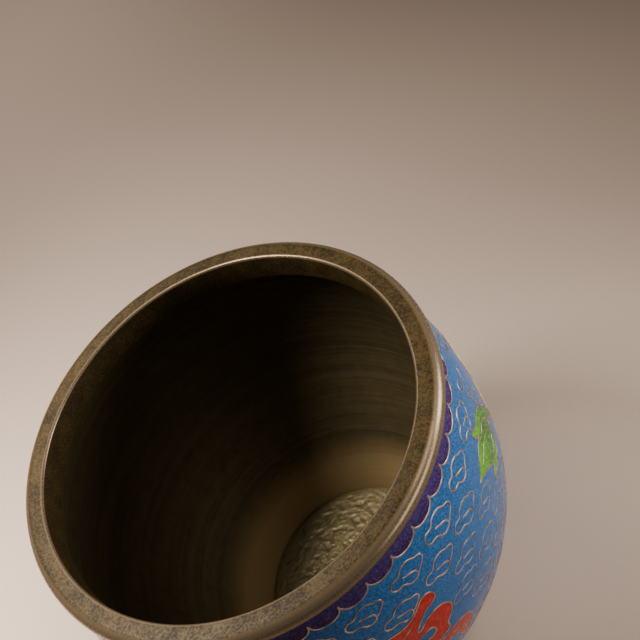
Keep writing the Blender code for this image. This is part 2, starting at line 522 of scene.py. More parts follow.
def draw_red_flower():
    """The flower's outline, windows, heart and veins."""
    crown = stroke([(-16, 29.4), (-11, 28.9), (-6.5, 27.8), (-2.5, 28.7), (0.5, 28.6),
                    (3.2, 27.2), (5.4, 25.7), (7.2, 25.8), (8.5, 27.4), (8.5, 29.3),
                    (7.0, 30.1), (4.6, 30.4), (2.6, 31.8), (0.3, 34.3)])
    lobe = stroke([(0.3, 34.3), (0.5, 35.3), (2.0, 34.6), (4.5, 33.4), (7.0, 33.7),
                   (9.2, 35.5), (10.2, 37.8), (9.7, 40.0), (8.1, 42.2), (6.8, 43.9),
                   (6.8, 45.6), (5.9, 46.8), (3.6, 47.1), (1.2, 48.0)])
    hook = stroke([(1.2, 48.0), (3.6, 48.7), (6.6, 48.6), (9.4, 49.3), (11.7, 51.0),
                   (13.0, 53.6), (13.1, 56.4), (12.2, 59.6), (10.6, 62.4), (9.2, 63.8)])
    belly = stroke([(9.2, 63.8), (8.4, 61.0), (8.0, 58.0), (7.1, 55.2), (5.2, 53.0),
                    (2.4, 52.8), (-0.4, 54.9), (-2.6, 58.6), (-4.6, 63.0), (-7.4, 66.4),
                    (-11.0, 67.4), (-14.2, 65.6), (-16, 62.6)])
    half = (crown, lobe, hook, belly)
    other_half = [mirrored(line, FLOWER_MIDDLE) for line in reversed(half)]
    wires.extend([*half, *other_half])
    add_cell("petal_red", joined(*half, *other_half), FLOWER_HEART, (12, 40))
    window = stroke([(3.8, 39.9), (3.2, 38.4), (1.2, 37.8), (-2.0, 38.0), (-4.4, 39.2),
                     (-4.6, 41.0), (-2.0, 42.0), (1.6, 41.9), (3.4, 41.5), (3.8, 39.9)])
    for pane in (window, mirrored(window, FLOWER_MIDDLE)):
        wires.append(pane)
        add_cell("ground_blue", pane[:-1], FLOWER_HEART, (12, 40))
    petals = ring(FLOWER_HEART, 8.2, 72, 0.22, 8)
    disc = ring(FLOWER_HEART, 3.6, 30)
    add_cell("petal_pink", petals[:-1], (FLOWER_MIDDLE, 36), FLOWER_HEART)
    add_cell("petal_yellow", disc[:-1], FLOWER_HEART, (FLOWER_MIDDLE, 50))
    wires.extend([petals, disc])
    veins = [
        stroke([(-7.0, 33.9), (-4.6, 33.2), (-2.6, 32.1), (-0.6, 31.1)]),
        stroke([(6.2, 51.4), (8.4, 52.6), (9.8, 55.0), (9.9, 58.0)]),
        stroke([(-3.4, 50.6), (-5.2, 54.4), (-7.6, 58.4), (-11.2, 61.2)]),
        stroke([(-12.6, 32.4), (-10.4, 34.6), (-9.2, 37.0)]),
    ]
    wires.extend(veins)
    wires.extend([mirrored(vein, FLOWER_MIDDLE) for vein in veins])


draw_red_flower()
print(len(wires), "wires and", len(cells), "cells in the flower")

# %% [markdown]
# ### The leaf sprays
#
# To the right of the red flower is a spray of three leaves that share one stem, pale at their
# tips and deeper towards the stem. Where two leaves touch they share one wire, so each line is
# drawn once and used for both cells. Above the spray are a bud and a small open cloud. A yellow
# flower stands behind it at the edge of the photo, and the spray beyond it is a mirror image.

# %% Draw the leaves
BLOOM_HEART = (77.6, 37.5)
STEM = (56.0, 32.8)


def draw_leaves(turn):
    """Three leaves on one stem. The turn is a function that moves each line into place."""
    fork = (49.6, 26.4)
    notch = (45.4, 34.8)
    tip = (36.2, 27.3)
    brow = stroke([tip, (38.6, 26.2), (41.2, 24.8), (44.2, 23.9), (46.8, 24.4), fork])
    split = stroke([fork, (52.0, 26.6), (54.0, 28.9), (55.4, 31.2), STEM])
    chin = stroke([tip, (38.9, 28.7), (41.0, 30.4), (42.8, 32.4), notch])
    keel = stroke([notch, (46.8, 35.6), (50.4, 35.5), (53.8, 34.4), STEM])
    rib = stroke([(41.0, 27.7), (43.8, 27.4), (46.6, 27.5), (50.6, 29.3), (53.8, 31.6)])
    blade_tip = (45.3, 20.1)
    inner = stroke([blade_tip, (45.3, 21.9), (46.7, 24.0), fork])
    outer = stroke([blade_tip, (46.8, 20.8), (48.8, 22.3), (52.2, 22.9), (55.6, 25.6),
                    (58.6, 30.2), (61.0, 36.2), (64.0, 43.6)])
    stalk = stroke([STEM, (59.0, 38.2), (61.6, 42.0), (64.0, 43.6)])
    low_tip = (41.6, 37.7)
    low_top = stroke([low_tip, (43.6, 36.2), notch])
    low_edge = stroke([low_tip, (45.7, 39.2), (49.7, 39.9), (53.4, 38.2), (54.8, 35.2), STEM])
    broad_leaf = joined(brow, split, keel[::-1], chin[::-1])
    blade = joined(inner, split, stalk, outer[::-1])
    low_leaf = joined(low_top, keel, low_edge[::-1])
    add_cell("leaf_green", turn(broad_leaf), (38, 27), (50, 32))
    add_cell("leaf_green", turn(blade), (44.5, 21), (55, 29))
    add_cell("leaf_green", turn(low_leaf), (41, 38), (54, 33))
    drawn = (brow, split, chin, keel, rib, inner, outer, stalk, low_top, low_edge)
    wires.extend([turn(line) for line in drawn])
    bud_under = stroke([(55.9, 20.0), (56.4, 21.8), (56.9, 24.4), (58.6, 28.1)])
    bud_over = stroke([(56.8, 20.0), (59.2, 22.8), (61.1, 26.3), (60.4, 28.4), (58.6, 28.1)])
    lone_cloud = stroke([(63.3, 17.6), (62.3, 18.2), (60.0, 18.6), (57.5, 18.3),
                         (55.6, 16.3), (56.3, 15.4), (59.2, 15.7)])
    wires.extend([turn(line) for line in (bud_under, bud_over, lone_cloud)])


draw_leaves(lambda line: line)
first_mirrored_cell = len(cells)
draw_leaves(lambda line: mirrored(line, BLOOM_HEART[0]))
for _, _, ends in cells[first_mirrored_cell:]:
    ends[:, 0] = 2 * BLOOM_HEART[0] - ends[:, 0]
print(len(wires), "wires and", len(cells), "cells with the leaves")

# %% [markdown]
# ### The yellow flower
#
# Only the edge of this flower shows in the photo, so its form is a guess in the style of the
# rest: five round petals about a pink ring and a red heart. A swelling circle gives all five
# petals as one wire, which is how a maker would bend them, and a short vein marks each.

# %% Draw the yellow flower
BLOOM_PETALS = 5


def draw_yellow_flower():
    """A round flower of five petals about its heart."""
    petals = ring(BLOOM_HEART, 11.5, 110, 0.36, BLOOM_PETALS)
    inner_ring = ring(BLOOM_HEART, 5.6, 60, 0.24, BLOOM_PETALS)
    disc = ring(BLOOM_HEART, 2.4, 24)
    add_cell("petal_yellow", petals[:-1], BLOOM_HEART, (60, 35))
    add_cell("petal_pink", inner_ring[:-1], (79, 30), BLOOM_HEART)
    add_cell("petal_red", disc[:-1], BLOOM_HEART, (79, 30))
    wires.extend([petals, inner_ring, disc])
    for petal in range(BLOOM_PETALS):
        angle = 2 * math.pi * (petal + 0.5) / BLOOM_PETALS
        spoke = [(BLOOM_HEART[0] + r * math.cos(angle), BLOOM_HEART[1] - r * math.sin(angle))
                 for r in (8.0, 10.5, 13.0)]
        wires.append(stroke(spoke))


draw_yellow_flower()
print(len(wires), "wires and", len(cells), "cells on the front half")

# %% [markdown]
# ### The back
#
# The back of the planter is out of the picture. Such pots are usually decorated alike on both
# sides, so the whole design is repeated half a turn away. That costs nothing to draw, and keeps
# the design quiet between the two flowers.

# %% Repeat the design on the back
HALF_TURN = 180


def on_the_back(line):
    """The same line half a turn away, kept on the sheet."""
    shift = -HALF_TURN if line[:, 0].mean() + HALF_TURN > SHEET_RIGHT else HALF_TURN
    return line + np.array([shift, 0])


wires.extend([on_the_back(line) for line in wires])
for enamel, outline, ends in list(cells):
    moved = on_the_back(outline)
    cells.append((enamel, moved, ends + (moved[0] - outline[0])))
print(len(wires), "wires and", len(cells), "cells all round")

# %% [markdown]
# ### The scalloped borders
#
# Under the rim runs a violet band with a scalloped lower edge, 44 scallops round. Each is the
# same bent wire, so one arc is drawn here and Geometry Nodes will repeat it. The colour's edge
# has to follow the same arcs, so it is joined from copies of that line. The foot gets the same
# border upside down, in fewer and plainer scallops.

# %% Draw one scallop for each border
CUSP_DEPTH = 8.7
SCALLOP_DROP = 2.75
SCALLOP_POINTS = 14
FOOT_SCALLOPS = 30
FOOT_CUSP_HEIGHT = 7.4
FOOT_SCALLOP_RISE = 2.6
RIM_BEAD_HEIGHT = 5.8
coat_top = rim_top - RIM_BEAD_HEIGHT
coat_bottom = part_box("foot_ring")[1].z / MM


def scallop(pitch, drop):
    """One arc from cusp to cusp, hanging by its drop, as a half ellipse."""
    turns = np.linspace(math.pi, 0, SCALLOP_POINTS + 1)
    return np.stack([(1 + np.cos(turns)) * pitch / 2, -drop * np.sin(turns) ** 0.85], axis=1)


def border_cell(arc, count, cusp_height, edge_height, near, far):
    """The band of colour between a sheet edge and a row of arcs."""
    places = SHEET_LEFT + np.arange(count) * 360 / count
    row = [arc[:-1] + (place, cusp_height) for place in places]
    row = np.concatenate([*row, [(SHEET_RIGHT, cusp_height)]])
    outline = np.concatenate([row, [(SHEET_RIGHT, edge_height), (SHEET_LEFT, edge_height)]])
    cells.append(("border_violet", outline, np.array([near, far])))


rim_scallop = scallop(SCALLOP_PITCH, SCALLOP_DROP)
foot_scallop = scallop(360 / FOOT_SCALLOPS, -FOOT_SCALLOP_RISE)
cusp_height = rim_top - CUSP_DEPTH
border_cell(rim_scallop, SCALLOPS, cusp_height, coat_top,
            (0, cusp_height + 1.2), (0, cusp_height - SCALLOP_DROP - 0.4))
border_cell(foot_scallop, FOOT_SCALLOPS, FOOT_CUSP_HEIGHT, coat_bottom,
            (0, coat_bottom), (0, FOOT_CUSP_HEIGHT + FOOT_SCALLOP_RISE))
print(f"{SCALLOPS} scallops under the rim, {FOOT_SCALLOPS} over the foot")

# %% [markdown]
# ## The enamel coat
#
# Between the wires the enamel is ground flush, so the colours meet on one smooth surface and
# nothing but the wires stands up. Laying coloured patches on the blue would raise them, and
# painting them in a texture would blur their edges. Instead the flat sheet is cut along every
# outline with a Delaunay triangulation, each triangle takes the colour of its cell, and the
# sheet is rolled onto the wall. The cut lines stay exact, and the wires cover them.

# %% Cut the sheet along the outlines
WIRE_PROUD = 0.00005
SHEET_COLUMNS = 240
SHEET_ROWS = 92
CLEARANCE = 0.45
line_heights = coat_line[:, 1] / MM
line_radii = coat_line[:, 0] / MM


def sheet_fill():
    """Evenly spread points that bend the sheet, kept clear of the outlines."""
    near_line = kdtree.KDTree(sum(len(outline) for _, outline, _ in cells))
    for index, place in enumerate(p for _, outline, _ in cells for p in outline):
        near_line.insert((*place, 0), index)
    near_line.balance()
    columns = np.linspace(SHEET_LEFT, SHEET_RIGHT, SHEET_COLUMNS + 1)
    rows = np.linspace(coat_bottom, coat_top, SHEET_ROWS + 1)
    fill = []
    for row in rows:
        for column in columns:
            on_edge = column in (columns[0], columns[-1]) or row in (rows[0], rows[-1])
            if on_edge or near_line.find((column, row, 0))[2] > CLEARANCE:
                fill.append((column, row))
    return fill


def cut_sheet():
    """Triangles of the flat sheet, each with the number of the cell that it lies in."""
    points = sheet_fill()
    outlines = []
    for _, outline, _ in cells:
        first = len(points)
        points.extend(map(tuple, outline))
        loop = list(range(first, len(points)))
        area = np.sum(outline[:, 0] * np.roll(outline[:, 1], -1))
        area -= np.sum(np.roll(outline[:, 0], -1) * outline[:, 1])
        outlines.append(loop if area > 0 else loop[::-1])
    points = [Vector(point) for point in points]
    corners, _, faces, _, _, sources = geometry.delaunay_2d_cdt(points, [], outlines, 0, 1e-4)
    inside = [max(source, default=-1) for source in sources]
    return np.array([tuple(c) for c in corners]), np.array(faces), np.array(inside)


sheet_corners, sheet_faces, sheet_cells = cut_sheet()
print(len(sheet_faces), "triangles in", len(cells), "cells")

# %% [markdown]
# ### Rolling the sheet onto the wall
#
# Fused enamel is a skin of glass about a millimetre thick, so the sheet has to end as a closed
# shell. Its sides are joined by giving the corners of the right edge the numbers of those on
# the left. A Solidify modifier could add the thickness, but it would double every small
# triangle, so a plain lining of a few rows is built behind the sheet.

# %% Roll the sheet into a closed coat
COAT_THICKNESS = 0.001
COAT_INSET = WIRE_PROUD + 0.00002
LINING_ROWS = 14
SAME_PLACE = 1e-3


def wall_points(across, up, inset):
    """Points on the wall at an inset in metres, with the directions that face out of it."""
    angle = np.radians(across - 90)
    radius = np.interp(up, line_heights, line_radii) * MM
    slope = np.interp(up, line_heights, np.gradient(line_radii, line_heights))
    out = np.stack([np.cos(angle), np.sin(angle), -slope], axis=1)
    out /= np.linalg.norm(out, axis=1)[:, None]
    points = np.stack([radius * np.cos(angle), radius * np.sin(angle), up * MM], axis=1)
    return points - out * inset * np.array([1, 1, 0]), out


def corners_at(values, place):
    """The numbers of the corners whose value is this one."""
    return np.flatnonzero(np.isclose(values, place, atol=SAME_PLACE))


def closed_coat():
    """The sheet on the wall, with its sides joined and a lining behind it."""
    across, up = sheet_corners.T
    outside, _ = wall_points(across, up, COAT_INSET)
    left = corners_at(across, SHEET_LEFT)
    same = np.arange(len(across))
    for corner in corners_at(across, SHEET_RIGHT):
        same[corner] = left[np.abs(up[left] - up[corner]).argmin()]
    top, bottom = corners_at(up, coat_top), corners_at(up, coat_bottom)
    top = top[np.argsort(across[top])][:-1]
    bottom = bottom[np.argsort(across[bottom])][:-1]
    loops = [top]
    points = [outside]
    for row in np.linspace(coat_top, coat_bottom, LINING_ROWS):
        ring_points, _ = wall_points(across[top], np.full(len(top), row), COAT_THICKNESS)
        loops.append(np.arange(len(top)) + sum(map(len, points)))
        points.append(ring_points)
    loops.append(bottom)
    lining = []
    for upper, lower in zip(loops, loops[1:]):
        following = np.roll(upper, -1), np.roll(lower, -1)
        lining.extend(np.stack([upper, following[0], following[1], lower], axis=1).tolist())
    return np.concatenate(points), same[sheet_faces].tolist(), lining


print("lining:", LINING_ROWS, "rows")

# %% [markdown]
# ### Giving the cells their colours
#
# Each triangle knows its cell and each cell its enamel, so one material slot for each enamel
# gives colours with sharp edges. A painted image would blur along the wires. How far a corner
# lies along the run of its cell is kept as the attribute tone, which the finishes read.

# %% Make the coat
def make_coat():
    """The enamel coat as one closed mesh whose faces know their colour."""
    points, faces, lining = closed_coat()
    mesh = bpy.data.meshes.new("enamel_coat_dressed")
    mesh.from_pydata(points.tolist(), [], faces + lining)
    for enamel in enamels.values():
        mesh.materials.append(enamel)
    slots = [enamel_names.index(cells[c][0]) if c >= 0 else 0 for c in sheet_cells]
    mesh.polygons.foreach_set("material_index", slots + [0] * len(lining))
    tone = np.zeros(len(mesh.loops), np.float32)
    for number, (_, _, (near, far)) in enumerate(cells):
        chosen = np.flatnonzero(sheet_cells == number)
        run = far - near
        shares = (sheet_corners[sheet_faces[chosen]] - near) @ run / (run @ run)
        tone[chosen[:, None] * 3 + np.arange(3)] = shares
    mesh.attributes.new("tone", "FLOAT", "CORNER").data.foreach_set("value", np.clip(tone, 0, 1))
    mesh.shade_smooth()
    mesh.update()
    return add_object("enamel_coat_dressed", mesh)


coat = make_coat()
print("coat:", len(coat.data.polygons), "faces")

# %% [markdown]
# ## Wires by Geometry Nodes
#
# A wire follows the wall, so it is a good job for Geometry Nodes: the flat strokes go in, and
# the tree rolls them onto the coat and gives them their thickness. Each tree has named inputs
# for its sizes, and ends by making everything real and giving it its finish.

# %% Begin and end a Geometry Nodes tree
def new_tree(name, inputs):
    """A Geometry Nodes tree with named inputs, and its input and output nodes."""
    tree = bpy.data.node_groups.new(name, "GeometryNodeTree")
    tree.interface.new_socket("Geometry", in_out="INPUT", socket_type="NodeSocketGeometry")
    for label, kind in inputs.items():
        tree.interface.new_socket(label, in_out="INPUT", socket_type=kind)
    tree.interface.new_socket("Geometry", in_out="OUTPUT", socket_type="NodeSocketGeometry")
    return tree, tree.nodes.new("NodeGroupInput").outputs, tree.nodes.new("NodeGroupOutput")


def end_with_finish(tree, given, result, shapes):
    """Makes the shapes real, gives them their finish and ends the tree."""
    real = add_step(tree, "GeometryNodeRealizeInstances", {"Geometry": shapes})
    coated = {"Geometry": real, "Material": given["Finish"]}
    fill_inputs(result, {"Geometry": add_step(tree, "GeometryNodeSetMaterial", coated)})


def axes(tree, place):
    """The X, Y and Z of a place."""
    return add_node(tree, "ShaderNodeSeparateXYZ", {"Vector": place}).outputs


def vector(tree, x=0.0, y=0.0, z=0.0):
    """A vector of three numbers or sockets."""
    return add_step(tree, "ShaderNodeCombineXYZ", {"X": x, "Y": y, "Z": z})


def geometry_of(tree, source):
    """The geometry of an object."""
    return add_node(tree, "GeometryNodeObjectInfo", {"Object": source}).outputs["Geometry"]


print("tree helpers are ready")

# %% [markdown]
# ### The wire's section
#
# Grinding leaves a wire a flat face between two sloped flanks, so the section is a low flat
# trapezoid. Its lower corners are marked to take the painted seam shade. It is drawn in the XY
# plane and turned so that its top faces X, which is the side that a curve's normal takes.

# %% Make the wire's section
WIRE_FACE = 0.00036
WIRE_WITH_SEAM = 0.00064
WIRE_THICKNESS = 0.00008
WIRE_INPUTS = {
    "Wall": "NodeSocketObject",
    "Face Width": "NodeSocketFloat",
    "Width With Seam": "NodeSocketFloat",
    "Thickness": "NodeSocketFloat",
    "Stands Proud": "NodeSocketFloat",
    "Finish": "NodeSocketMaterial",
}


def wire_section(tree, given):
    """A flat topped section that stands proud of the wall by the given height."""
    shape = {
        "Height": given["Thickness"],
        "Bottom Width": given["Width With Seam"],
        "Top Width": given["Face Width"],
        "Offset": 0.0,
    }
    outline = add_step(tree, "GeometryNodeCurvePrimitiveQuadrilateral", shape, mode="TRAPEZOID")
    height = axes(tree, add_step(tree, "GeometryNodeInputPosition"))["Y"]
    # The lower corners carry the mark for the painted seam shade, a dark colour for the gap's
    # shadow.
    low = add_math(tree, "LESS_THAN", height, 0.0)
    marked = {"Geometry": outline, "Name": "seam", "Value": low}
    section = add_step(tree, "GeometryNodeStoreNamedAttribute", marked)
    sunk = add_math(tree, "MULTIPLY_ADD", given["Thickness"], -0.5, given["Stands Proud"])
    turn = (0, 0, -math.pi / 2)
    seated = {"Geometry": section, "Translation": vector(tree, sunk), "Rotation": turn}
    return add_step(tree, "GeometryNodeTransform", seated)


print(f"wire face {WIRE_FACE / MM:.2f} mm wide, with seams {WIRE_WITH_SEAM / MM:.2f} mm")

# %% [markdown]
# ### Rolling strokes onto the wall
#
# To find the wall the tree sends a ray from well outside straight at the axis, at each point's
# own height and direction, and sets the point down where the ray lands. The curve takes the
# wall's own normal there, which keeps the wire's face level with the wall. A modifier that bends
# the strokes would need the wall's shape as a formula, and a ray needs only the wall. The same
# group serves the single strokes, the clouds and the scallops.

# %% Group: roll strokes onto the wall as wire
RAY_START = 0.1


def wall_ray(tree, given):
    """Where the ray from each flat point meets the wall, and how the wall faces there."""
    flat = axes(tree, add_step(tree, "GeometryNodeInputPosition"))
    angle = add_math(tree, "RADIANS", flat["X"])
    across = add_math(tree, "SINE", angle)
    toward = add_math(tree, "MULTIPLY", add_math(tree, "COSINE", angle), -1.0)
    up = add_math(tree, "MULTIPLY", flat["Y"], MM)
    start = [add_math(tree, "MULTIPLY", side, RAY_START) for side in (across, toward)]
    aim = [add_math(tree, "MULTIPLY", side, -1.0) for side in (across, toward)]
    ray = {
        "Target Geometry": geometry_of(tree, given["Wall"]),
        "Source Position": vector(tree, *start, up),
        "Ray Direction": vector(tree, *aim),
        "Ray Length": RAY_START,
    }
    return add_node(tree, "GeometryNodeRaycast", ray).outputs


def make_wire_group():
    """Rolls strokes in degrees and millimetres onto the wall, as flat wire."""
    tree, given, result = new_tree("roll_wire_onto_wall", WIRE_INPUTS)
    as_vector = {"data_type": "FLOAT_VECTOR"}
    hit = wall_ray(tree, given)
    facing = {"Geometry": given["Geometry"], "Name": "out", "Value": hit["Hit Normal"]}
    marked = add_step(tree, "GeometryNodeStoreNamedAttribute", facing, **as_vector)
    rolled = {"Geometry": marked, "Position": hit["Hit Position"]}
    lines = add_step(tree, "GeometryNodeSetPosition", rolled)
    out = add_step(tree, "GeometryNodeInputNamedAttribute", {"Name": "out"}, **as_vector)
    level = {"Curve": lines, "Normal": out}
    lines = add_step(tree, "GeometryNodeSetCurveNormal", level, mode="FREE")
    swept = {"Curve": lines, "Profile Curve": wire_section(tree, given), "Fill Caps": True}
    end_with_finish(tree, given, result, add_step(tree, "GeometryNodeCurveToMesh", swept))
    return tree


wire_group = make_wire_group()
print("wire group:", len(wire_group.nodes), "nodes")

# %% [markdown]
# ### The wires of the flowers and leaves
#
# The strokes become a curve object, the tree runs on it as a modifier, and the evaluated result
# is kept as a plain mesh. A modifier's inputs go by the identifiers of their sockets, so the
# names are looked up first.

# %% Make the wires of the flowers and leaves
def set_inputs(modifier, values):
    """Sets a modifier's inputs by the identifiers of their sockets."""
    for item in modifier.node_group.interface.items_tree:
        if item.in_out == "INPUT" and item.name in values:
            modifier[item.identifier] = values[item.name]


def finished(source, tree, values, name):
    """The plain mesh that a tree makes from a source, as a new object."""
    modifier = source.modifiers.new(tree.name, "NODES")
    modifier.node_group = tree
    set_inputs(modifier, values)
    bpy.context.view_layer.update()
    evaluated = source.evaluated_get(bpy.context.evaluated_depsgraph_get())
    mesh = bpy.data.meshes.new_from_object(evaluated)
    mesh.name = name
    bpy.data.objects.remove(source)
    return add_object(name, mesh)


def strokes_object(name, lines):
    """Flat strokes as one curve object, in degrees across and millimetres up."""
    curve = bpy.data.curves.new(name, "CURVE")
    curve.dimensions = "3D"
    for line in lines:
        closed = np.allclose(line[0], line[-1])
        points = line[:-1] if closed else line
        spline = curve.splines.new("POLY")
        spline.points.add(len(points) - 1)
        for point, (across, up) in zip(spline.points, points):
            point.co = (across, up, 0, 1)
        spline.use_cyclic_u = closed
    return add_object(name, curve)


wire_settings = {
    "Wall": coat,
    "Face Width": WIRE_FACE,
    "Width With Seam": WIRE_WITH_SEAM,
    "Thickness": WIRE_THICKNESS,
    "Stands Proud": WIRE_PROUD,
    "Finish": wire_brass,
}
motif_strokes = strokes_object("motif_strokes", wires)
motif_wires = finished(motif_strokes, wire_group, wire_settings, "motif_wires")
print("motif wires:", len(motif_wires.data.polygons), "faces")

# %% [markdown]
# ### Cloud wires
#
# The blue ground is filled with small clouds, each one piece of wire bent the same way: it
# starts inside, curls down to the right, runs round five bumps and stops where it meets itself.
# They sit in staggered rows, 27 to a row at the belly, and none crosses a flower or leaf: one
# that would is nudged a little, or left out.

# %% Place the clouds
CLOUD_HALF_WIDTH = 5.7
CLOUD_HALF_HEIGHT = 3.25
CLOUD_ROW_STEP = 8.0
CLOUD_FIRST_DEPTH = 16.4
CLOUD_FIRST_ACROSS = -6.0
CLOUDS_IN_ROW = 27
CLOUD_LEAST_PITCH = 13.6
CLOUD_ROWS = 12
CLOUD_POINTS = 34
CLOUD_CLEARANCE = 0.05
CLOUD_NUDGES = [(0, 0), (1.75, 0), (-1.6, 0), (0, 0.8), (0, -0.8), (1.6, 0.8), (-1.6, -0.8)]

cloud_bends = [(-0.30, 0.16), (0.06, -0.10), (0.33, -0.38), (0.38, -0.74), (0.10, -1.0),
               (-0.22, -0.82), (-0.44, -0.40), (-0.76, -0.34), (-1.0, 0.20), (-0.74, 0.62),
               (-0.42, 0.56), (-0.20, 0.88), (0.15, 1.0), (0.46, 0.84), (0.66, 0.52),
               (0.88, 0.42), (1.0, 0.12), (0.74, -0.36), (0.42, -0.72)]
cloud_half = (CLOUD_HALF_WIDTH, CLOUD_HALF_HEIGHT)
cloud_line = smooth_line(np.array(cloud_bends) * cloud_half, CLOUD_POINTS)


def inside_outline(places, outline):
    """Which places lie inside a closed outline."""
    ends = np.roll(outline, -1, axis=0)
    x, y = places[:, 0, None], places[:, 1, None]
    crosses = (outline[:, 1] > y) != (ends[:, 1] > y)
    rise = np.where(ends[:, 1] == outline[:, 1], 1, ends[:, 1] - outline[:, 1])
    meets = outline[:, 0] + (y - outline[:, 1]) / rise * (ends[:, 0] - outline[:, 0])
    return (np.count_nonzero(crosses & (x < meets), axis=1) % 2).astype(bool)


def cloud_places():
    """(across, up, width of a millimetre in degrees) of each cloud that fits the free ground."""
    run = np.concatenate([[0], np.cumsum(np.hypot(np.diff(line_radii), np.diff(line_heights)))])
    start = np.interp(rim_top - CLOUD_FIRST_DEPTH, line_heights, run)
    grown = cloud_line * (1 + CLOUD_CLEARANCE / CLOUD_HALF_HEIGHT)
    motifs = [outline for enamel, outline, _ in cells if enamel != "border_violet"]
    all_wires = np.concatenate(wires)
    kept = []
    for row in range(CLOUD_ROWS):
        middle = np.interp(start - row * CLOUD_ROW_STEP, run, line_heights)
        radius = np.interp(middle, line_heights, line_radii)
        count = min(CLOUDS_IN_ROW, round(2 * math.pi * radius / CLOUD_LEAST_PITCH))
        degree = 180 / math.pi / radius
        for cloud in range(count):
            first = CLOUD_FIRST_ACROSS + (cloud + row % 2 / 2) * 360 / count
            for nudge_across, nudge_up in CLOUD_NUDGES:
                across = (first + nudge_across - SHEET_LEFT) % 360 + SHEET_LEFT
                up = middle + nudge_up
                outline = grown * (degree, 1) + (across, up)
                if any(inside_outline(outline, motif).any() for motif in motifs):
                    continue
                if inside_outline(all_wires, outline).any():
                    continue
                kept.append((across, up, degree))
                break
    return kept


cloud_spots = cloud_places()
print(len(cloud_spots), "clouds fit between the flowers and leaves")

# %% [markdown]
# ### A tree for the clouds
#
# The clouds are hand made, so no two are quite alike. The tree puts the one cloud on every
# place with a little random turn and size from a fixed seed, and then calls the wire group. A
# degree is a shorter way near the foot than at the belly, so each place also says how many
# degrees make a millimetre there, and the cloud is stretched across by that.

# %% Make the tree for the clouds
CLOUD_INPUTS = {
    "Cloud": "NodeSocketObject",
    "Turn": "NodeSocketFloat",
    "Smallest": "NodeSocketFloat",
    "Largest": "NodeSocketFloat",
    "Seed": "NodeSocketInt",
    **WIRE_INPUTS,
}


def random_number(tree, low, high, seed):
    """A random number for each point, from a fixed seed."""
    numbers = {2: low, 3: high, "Seed": seed}
    return add_node(tree, "FunctionNodeRandomValue", numbers).outputs[1]


def end_with_wires(tree, given, result, shapes):
    """Makes repeated shapes real, hands them to the wire group and ends the tree."""
    real = add_step(tree, "GeometryNodeRealizeInstances", {"Geometry": shapes})
    settings = {"Geometry": real, **{label: given[label] for label in WIRE_INPUTS}}
    wire = add_step(tree, "GeometryNodeGroup", settings, node_tree=wire_group)
    fill_inputs(result, {"Geometry": wire})


def make_cloud_tree():
    """Puts a cloud on each point, turned and sized a little at random, and rolls all on."""
    tree, given, result = new_tree("clouds_on_wall", CLOUD_INPUTS)
    least_turn = add_math(tree, "MULTIPLY", given["Turn"], -1.0)
    turn = random_number(tree, least_turn, given["Turn"], given["Seed"])
    next_seed = add_math(tree, "ADD", given["Seed"], 1.0)
    size = random_number(tree, given["Smallest"], given["Largest"], next_seed)
    degree = add_step(tree, "GeometryNodeInputNamedAttribute", {"Name": "degree"})
    placing = {
        "Points": given["Geometry"],
        "Instance": geometry_of(tree, given["Cloud"]),
        "Rotation": vector(tree, z=turn),
        "Scale": vector(tree, add_math(tree, "MULTIPLY", size, degree), size, 1.0),
    }
    shapes = add_step(tree, "GeometryNodeInstanceOnPoints", placing)
    end_with_wires(tree, given, result, shapes)
    return tree


cloud_tree = make_cloud_tree()
print("cloud tree:", len(cloud_tree.nodes), "nodes")

# %% [markdown]
# ### Setting the clouds down
#
# The free places become loose points of a mesh, which is all that the tree needs as its start.

# %% Make the cloud wires
def points_object(name, spots):
    """Loose points on the flat sheet, each with the width of a millimetre in degrees."""
    mesh = bpy.data.meshes.new(name)
    mesh.from_pydata([(across, up, 0) for across, up, _ in spots], [], [])
    degrees = [degree for _, _, degree in spots]
    mesh.attributes.new("degree", "FLOAT", "POINT").data.foreach_set("value", degrees)
    return add_object(name, mesh)


cloud_stroke = strokes_object("cloud_stroke", [cloud_line])
cloud_settings = {
    **wire_settings,
    "Cloud": cloud_stroke,
    "Turn": math.radians(5),
    "Smallest": 0.92,
    "Largest": 1.04,
    "Seed": 7,
}
cloud_points = points_object("cloud_spots", cloud_spots)
cloud_wires = finished(cloud_points, cloud_tree, cloud_settings, "cloud_wires")
bpy.data.objects.remove(cloud_stroke)
print("cloud wires:", len(cloud_wires.data.polygons), "faces")

# %% [markdown]
# ### Border wires
#
# The scallops are the plainest repeat: one arc, a count and a pitch. A line of points at the
# height of the cusps carries the arcs, and the wire group rolls them on. Both borders use the
# same tree with other numbers.

# %% Make the border wires
BORDER_INPUTS = {
    "Arc": "NodeSocketObject",
    "Count": "NodeSocketInt",
    "Pitch": "NodeSocketFloat",
    "Cusp Height": "NodeSocketFloat",
    **WIRE_INPUTS,
}


def make_border_tree():
    """A row of arcs round the wall, at a height and a pitch."""
    tree, given, result = new_tree("border_on_wall", BORDER_INPUTS)
    line = {
        "Count": given["Count"],
        "Start Location": vector(tree, SHEET_LEFT, given["Cusp Height"]),
        "Offset": vector(tree, given["Pitch"]),
    }
    placing = {
        "Points": add_step(tree, "GeometryNodeMeshLine", line),
        "Instance": geometry_of(tree, given["Arc"]),
    }
    shapes = add_step(tree, "GeometryNodeInstanceOnPoints", placing)
    end_with_wires(tree, given, result, shapes)
    return tree


def make_border(name, arc, count, height):
    """One scalloped border of wire."""
    arc_stroke = strokes_object(name + "_arc", [arc])
    settings = {
        **wire_settings,
        "Arc": arc_stroke,
        "Count": count,
        "Pitch": 360 / count,
        "Cusp Height": height,
    }
    border = finished(points_object(name + "_start", []), border_tree, settings, name)
    bpy.data.objects.remove(arc_stroke)
    return border


